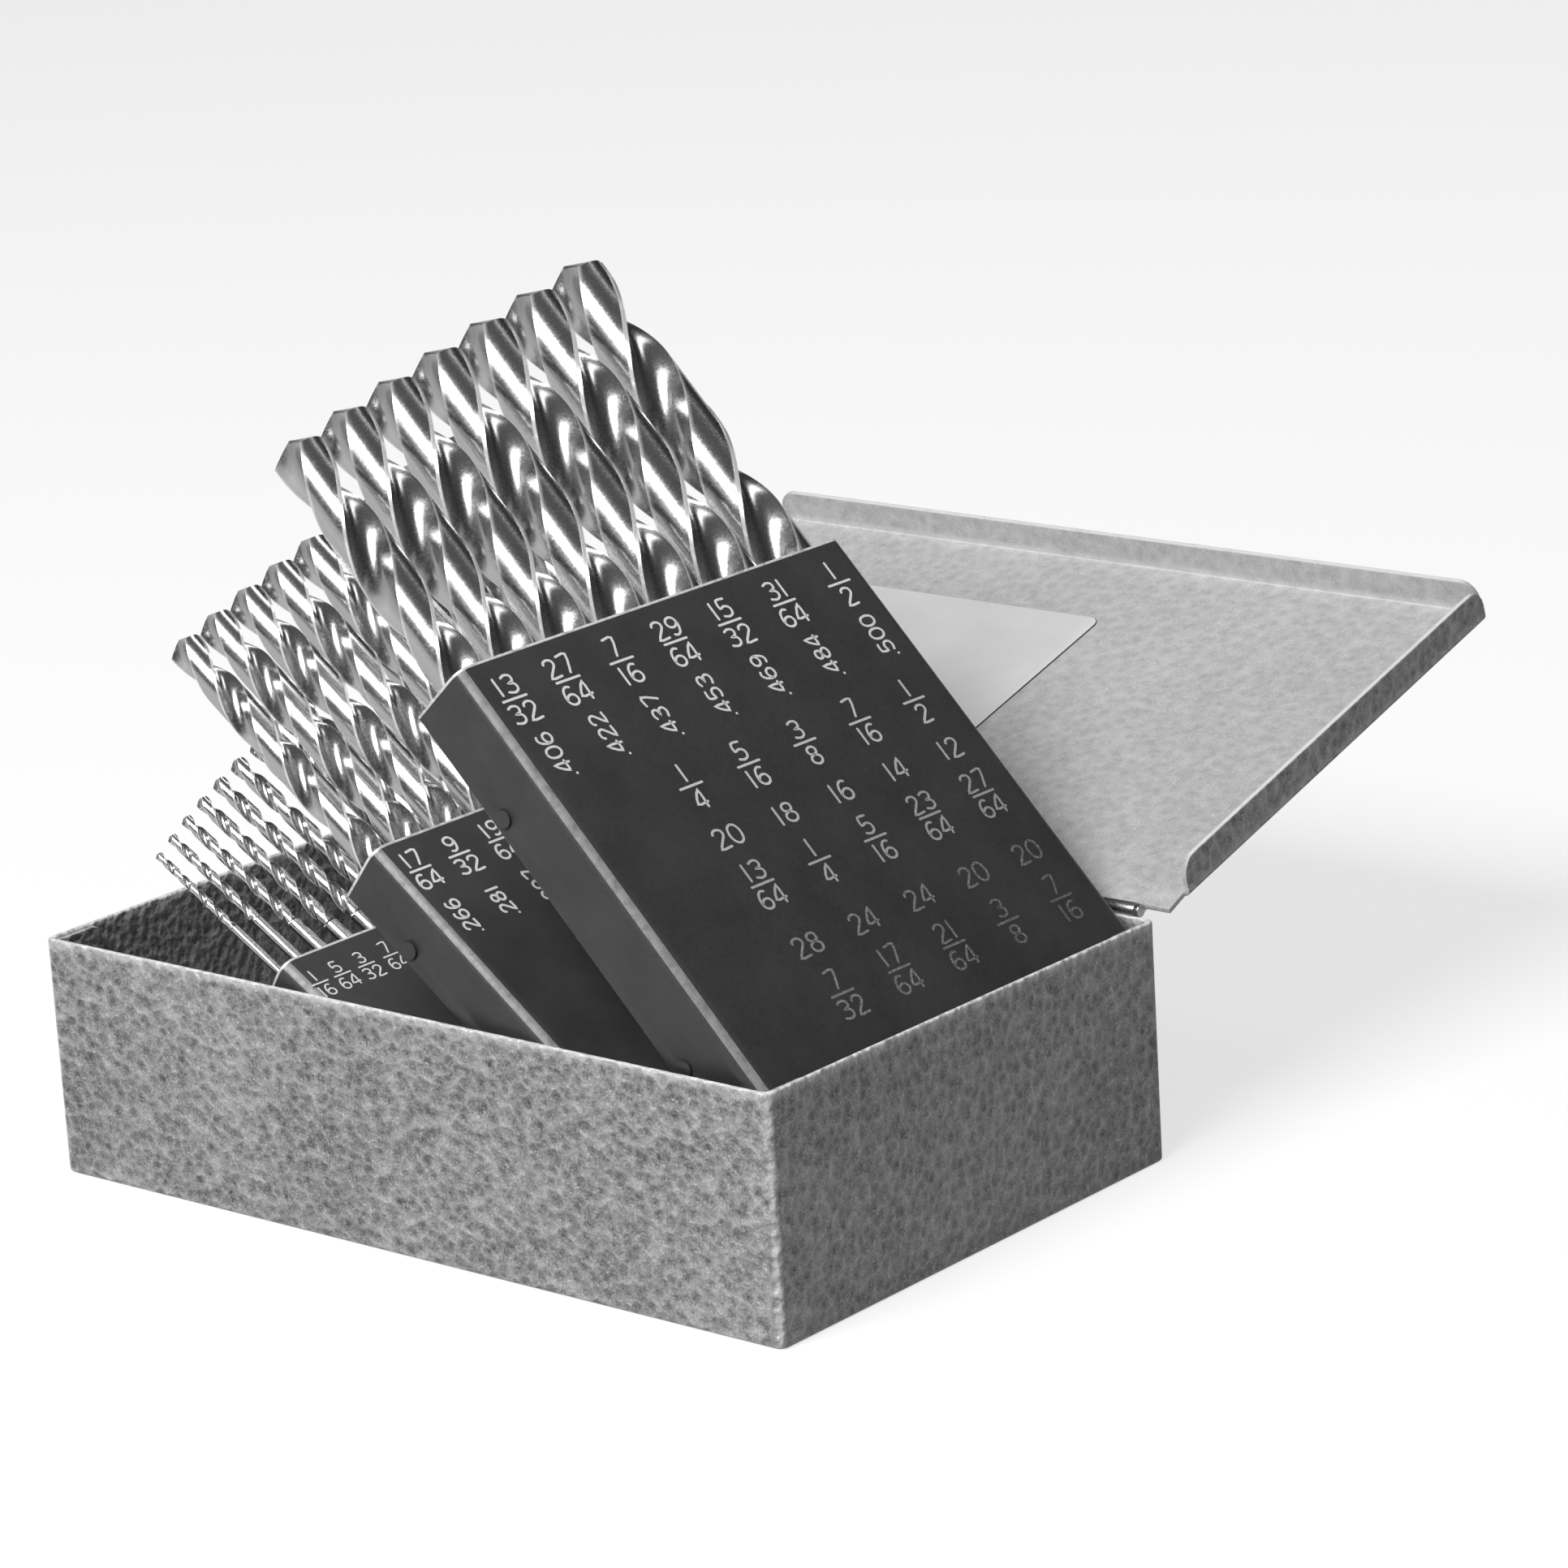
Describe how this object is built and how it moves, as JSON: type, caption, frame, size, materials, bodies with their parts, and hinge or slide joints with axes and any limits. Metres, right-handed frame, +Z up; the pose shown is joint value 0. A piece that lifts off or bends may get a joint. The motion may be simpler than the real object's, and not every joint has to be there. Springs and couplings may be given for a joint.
{
  "type": "drill bit case",
  "caption": "Flat sheet-metal case with a hinged lid and three tilting racks that hold a full set of twist drills in steps of size",
  "frame": {"origin": "centre of the case's flat underside", "axes": "+X along the case toward the racks' pivots, +Y toward the lid hinge, +Z up"},
  "size_m": [0.183, 0.2242, 0.163],
  "materials": {
    "case_paint": "hammertone grey",
    "lid_paint": "hammertone grey, lighter inside",
    "card": "smooth blank card",
    "hinge_steel": "plated",
    "bracket_black": "black, satin",
    "rod_steel": "bright drawn",
    "rack_black": "black, satin",
    "plate_black": "black, satin",
    "rivet_steel": "painted over",
    "drill_steel": "ground bright"
  },
  "bodies": {
    "case": {"case_body": "case_paint", "case_hinge_leaf": "hinge_steel", "hinge_pin": "hinge_steel", "front_bracket": "bracket_black", "back_bracket": "bracket_black", "large_pivot_rod": "rod_steel"},
    "lid": {"lid_panel": "lid_paint", "lid_hinge_leaf": "hinge_steel", "lid_card": "card"},
    "large_rack": {"large_rack_shell": "rack_black", "large_guide_plate": "plate_black", "large_seat_plate": "plate_black", "large_rack_rivets": "rivet_steel"},
    "middle_rod": {"middle_pivot_rod": "rod_steel"},
    "middle_rack": {"middle_rack_shell": "rack_black", "middle_guide_plate": "plate_black", "middle_seat_plate": "plate_black", "middle_rack_rivets": "rivet_steel"},
    "small_rod": {"small_pivot_rod": "rod_steel"},
    "small_rack": {"small_rack_shell": "rack_black", "small_guide_plate": "plate_black", "small_seat_plate": "plate_black", "small_rack_rivets": "rivet_steel"},
    "drill_1_16": {"drill_1_16": "drill_steel"},
    "drill_5_64": {"drill_5_64": "drill_steel"},
    "drill_3_32": {"drill_3_32": "drill_steel"},
    "drill_7_64": {"drill_7_64": "drill_steel"},
    "drill_1_8": {"drill_1_8": "drill_steel"},
    "drill_9_64": {"drill_9_64": "drill_steel"},
    "drill_5_32": {"drill_5_32": "drill_steel"},
    "drill_11_64": {"drill_11_64": "drill_steel"},
    "drill_3_16": {"drill_3_16": "drill_steel"},
    "drill_13_64": {"drill_13_64": "drill_steel"},
    "drill_7_32": {"drill_7_32": "drill_steel"},
    "drill_15_64": {"drill_15_64": "drill_steel"},
    "drill_1_4": {"drill_1_4": "drill_steel"},
    "drill_17_64": {"drill_17_64": "drill_steel"},
    "drill_9_32": {"drill_9_32": "drill_steel"},
    "drill_19_64": {"drill_19_64": "drill_steel"},
    "drill_5_16": {"drill_5_16": "drill_steel"},
    "drill_21_64": {"drill_21_64": "drill_steel"},
    "drill_11_32": {"drill_11_32": "drill_steel"},
    "drill_23_64": {"drill_23_64": "drill_steel"},
    "drill_3_8": {"drill_3_8": "drill_steel"},
    "drill_25_64": {"drill_25_64": "drill_steel"},
    "drill_13_32": {"drill_13_32": "drill_steel"},
    "drill_27_64": {"drill_27_64": "drill_steel"},
    "drill_7_16": {"drill_7_16": "drill_steel"},
    "drill_29_64": {"drill_29_64": "drill_steel"},
    "drill_15_32": {"drill_15_32": "drill_steel"},
    "drill_31_64": {"drill_31_64": "drill_steel"},
    "drill_1_2": {"drill_1_2": "drill_steel"}
  },
  "joints": [
    {"name": "lid_hinge", "type": "hinge", "parent": "case", "child": "lid", "pos_m": [0, 0.0574, 0.0476], "axis": [1, 0, 0], "range_deg": [0, 70]},
    {"name": "large_tilt", "type": "hinge", "parent": "case", "child": "large_rack", "pos_m": [0.084, 0, 0.0407], "axis": [0, 1, 0], "range_deg": [-46, 0]},
    {"name": "middle_slide", "type": "slide", "parent": "case", "child": "middle_rod", "axis": [1, 0, 0], "range_m": [0, 0.029]},
    {"name": "middle_tilt", "type": "hinge", "parent": "middle_rod", "child": "middle_rack", "pos_m": [0.055, 0, 0.0239], "axis": [0, 1, 0], "range_deg": [-37.5, 0]},
    {"name": "small_slide", "type": "slide", "parent": "case", "child": "small_rod", "axis": [1, 0, 0], "range_m": [0, 0.054]},
    {"name": "small_tilt", "type": "hinge", "parent": "small_rod", "child": "small_rack", "pos_m": [0.025, 0, 0.01228], "axis": [0, 1, 0], "range_deg": [-31.5, 0]},
    {"name": "drill_1_16_pull", "type": "slide", "parent": "small_rack", "child": "drill_1_16", "axis": [-0.8526, 0, 0.5225], "range_m": [0, 0.0111]},
    {"name": "drill_5_64_pull", "type": "slide", "parent": "small_rack", "child": "drill_5_64", "axis": [-0.8526, 0, 0.5225], "range_m": [0, 0.0113]},
    {"name": "drill_3_32_pull", "type": "slide", "parent": "small_rack", "child": "drill_3_32", "axis": [-0.8526, 0, 0.5225], "range_m": [0, 0.0147]},
    {"name": "drill_7_64_pull", "type": "slide", "parent": "small_rack", "child": "drill_7_64", "axis": [-0.8526, 0, 0.5225], "range_m": [0, 0.0213]},
    {"name": "drill_1_8_pull", "type": "slide", "parent": "small_rack", "child": "drill_1_8", "axis": [-0.8526, 0, 0.5225], "range_m": [0, 0.0215]},
    {"name": "drill_9_64_pull", "type": "slide", "parent": "small_rack", "child": "drill_9_64", "axis": [-0.8526, 0, 0.5225], "range_m": [0, 0.0217]},
    {"name": "drill_5_32_pull", "type": "slide", "parent": "small_rack", "child": "drill_5_32", "axis": [-0.8526, 0, 0.5225], "range_m": [0, 0.0251]},
    {"name": "drill_11_64_pull", "type": "slide", "parent": "small_rack", "child": "drill_11_64", "axis": [-0.8526, 0, 0.5225], "range_m": [0, 0.0253]},
    {"name": "drill_3_16_pull", "type": "slide", "parent": "small_rack", "child": "drill_3_16", "axis": [-0.8526, 0, 0.5225], "range_m": [0, 0.0287]},
    {"name": "drill_13_64_pull", "type": "slide", "parent": "small_rack", "child": "drill_13_64", "axis": [-0.8526, 0, 0.5225], "range_m": [0, 0.029]},
    {"name": "drill_7_32_pull", "type": "slide", "parent": "small_rack", "child": "drill_7_32", "axis": [-0.8526, 0, 0.5225], "range_m": [0, 0.0292]},
    {"name": "drill_15_64_pull", "type": "slide", "parent": "small_rack", "child": "drill_15_64", "axis": [-0.8526, 0, 0.5225], "range_m": [0, 0.0294]},
    {"name": "drill_1_4_pull", "type": "slide", "parent": "small_rack", "child": "drill_1_4", "axis": [-0.8526, 0, 0.5225], "range_m": [0, 0.0296]},
    {"name": "drill_17_64_pull", "type": "slide", "parent": "middle_rack", "child": "drill_17_64", "axis": [-0.7934, 0, 0.6088], "range_m": [0, 0.0452]},
    {"name": "drill_9_32_pull", "type": "slide", "parent": "middle_rack", "child": "drill_9_32", "axis": [-0.7934, 0, 0.6088], "range_m": [0, 0.0452]},
    {"name": "drill_19_64_pull", "type": "slide", "parent": "middle_rack", "child": "drill_19_64", "axis": [-0.7934, 0, 0.6088], "range_m": [0, 0.0452]},
    {"name": "drill_5_16_pull", "type": "slide", "parent": "middle_rack", "child": "drill_5_16", "axis": [-0.7934, 0, 0.6088], "range_m": [0, 0.0452]},
    {"name": "drill_21_64_pull", "type": "slide", "parent": "middle_rack", "child": "drill_21_64", "axis": [-0.7934, 0, 0.6088], "range_m": [0, 0.0452]},
    {"name": "drill_11_32_pull", "type": "slide", "parent": "middle_rack", "child": "drill_11_32", "axis": [-0.7934, 0, 0.6088], "range_m": [0, 0.0452]},
    {"name": "drill_23_64_pull", "type": "slide", "parent": "middle_rack", "child": "drill_23_64", "axis": [-0.7934, 0, 0.6088], "range_m": [0, 0.0452]},
    {"name": "drill_3_8_pull", "type": "slide", "parent": "middle_rack", "child": "drill_3_8", "axis": [-0.7934, 0, 0.6088], "range_m": [0, 0.0452]},
    {"name": "drill_25_64_pull", "type": "slide", "parent": "middle_rack", "child": "drill_25_64", "axis": [-0.7934, 0, 0.6088], "range_m": [0, 0.0452]},
    {"name": "drill_13_32_pull", "type": "slide", "parent": "large_rack", "child": "drill_13_32", "axis": [-0.6947, 0, 0.7193], "range_m": [0, 0.0774]},
    {"name": "drill_27_64_pull", "type": "slide", "parent": "large_rack", "child": "drill_27_64", "axis": [-0.6947, 0, 0.7193], "range_m": [0, 0.0774]},
    {"name": "drill_7_16_pull", "type": "slide", "parent": "large_rack", "child": "drill_7_16", "axis": [-0.6947, 0, 0.7193], "range_m": [0, 0.0774]},
    {"name": "drill_29_64_pull", "type": "slide", "parent": "large_rack", "child": "drill_29_64", "axis": [-0.6947, 0, 0.7193], "range_m": [0, 0.0774]},
    {"name": "drill_15_32_pull", "type": "slide", "parent": "large_rack", "child": "drill_15_32", "axis": [-0.6947, 0, 0.7193], "range_m": [0, 0.0774]},
    {"name": "drill_31_64_pull", "type": "slide", "parent": "large_rack", "child": "drill_31_64", "axis": [-0.6947, 0, 0.7193], "range_m": [0, 0.0774]},
    {"name": "drill_1_2_pull", "type": "slide", "parent": "large_rack", "child": "drill_1_2", "axis": [-0.6947, 0, 0.7193], "range_m": [0, 0.0774]}
  ],
  "couplings": [
    {"joint": "middle_tilt", "follows": "large_tilt", "ratio": 0.81522},
    {"joint": "small_tilt", "follows": "large_tilt", "ratio": 0.68478},
    {"joint": "middle_slide", "follows": "large_tilt", "m_per_rad": -0.036121},
    {"joint": "small_slide", "follows": "large_tilt", "m_per_rad": -0.06726}
  ]
}
